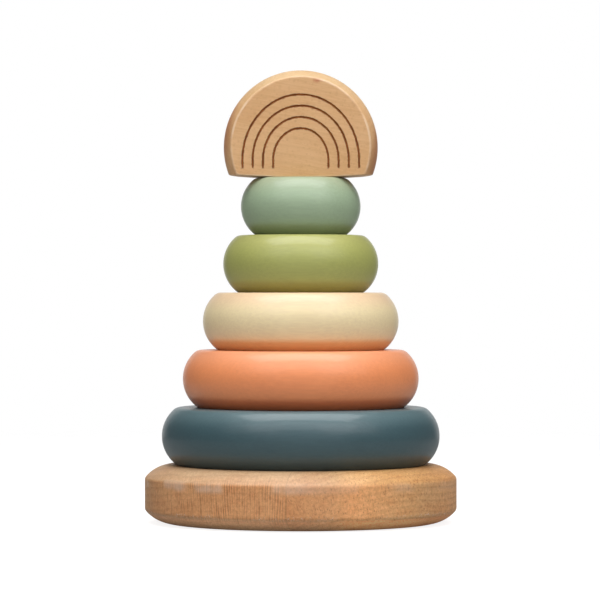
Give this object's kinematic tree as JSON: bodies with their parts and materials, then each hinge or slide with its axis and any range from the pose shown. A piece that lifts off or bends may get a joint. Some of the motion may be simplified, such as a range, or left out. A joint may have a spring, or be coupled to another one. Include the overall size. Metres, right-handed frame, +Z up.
{
  "type": "stacking ring toy",
  "caption": "Wooden stacking ring toy: a round bevelled beech base with a post, painted cushion rings in falling sizes that lift off it, and a half-round topper engraved with a rainbow.",
  "frame": {"origin": "centre of the underside of the base disc, where the toy stands", "axes": "+Z up along the post; -Y is the front, the way the rainbow faces; +X to the right seen from the front"},
  "size_m": [0.125, 0.125, 0.1811],
  "materials": {
    "beech_base": "bare beech, sanded and oiled, satin",
    "beech_post": "bare beech dowel, sanded",
    "slate_paint": "satin water-based paint on wood",
    "terracotta_paint": "satin water-based paint on wood",
    "cream_paint": "satin water-based paint on wood",
    "olive_paint": "satin water-based paint on wood",
    "sage_paint": "satin water-based paint on wood",
    "beech_topper": "bare beech, sanded and oiled, satin, with burnt brown engraved lines"
  },
  "bodies": {
    "base_and_post": {"base": "beech_base", "post": "beech_post"},
    "slate_blue_ring": {"ring_slate_blue": "slate_paint"},
    "terracotta_ring": {"ring_terracotta": "terracotta_paint"},
    "cream_ring": {"ring_cream": "cream_paint"},
    "olive_ring": {"ring_olive": "olive_paint"},
    "sage_ring": {"ring_sage": "sage_paint"},
    "topper": {"rainbow_topper": "beech_topper"}
  },
  "joints": [
    {"name": "slate_blue_lift", "type": "slide", "parent": "base_and_post", "child": "slate_blue_ring", "axis": [0, 0, 1], "range_m": [0, 0.135]},
    {"name": "terracotta_lift", "type": "slide", "parent": "slate_blue_ring", "child": "terracotta_ring", "axis": [0, 0, 1], "range_m": [0, 0.112]},
    {"name": "cream_lift", "type": "slide", "parent": "terracotta_ring", "child": "cream_ring", "axis": [0, 0, 1], "range_m": [0, 0.089]},
    {"name": "olive_lift", "type": "slide", "parent": "cream_ring", "child": "olive_ring", "axis": [0, 0, 1], "range_m": [0, 0.066]},
    {"name": "sage_lift", "type": "slide", "parent": "olive_ring", "child": "sage_ring", "axis": [0, 0, 1], "range_m": [0, 0.043]},
    {"name": "topper_lift", "type": "slide", "parent": "sage_ring", "child": "topper", "axis": [0, 0, 1], "range_m": [0, 0.02]}
  ]
}
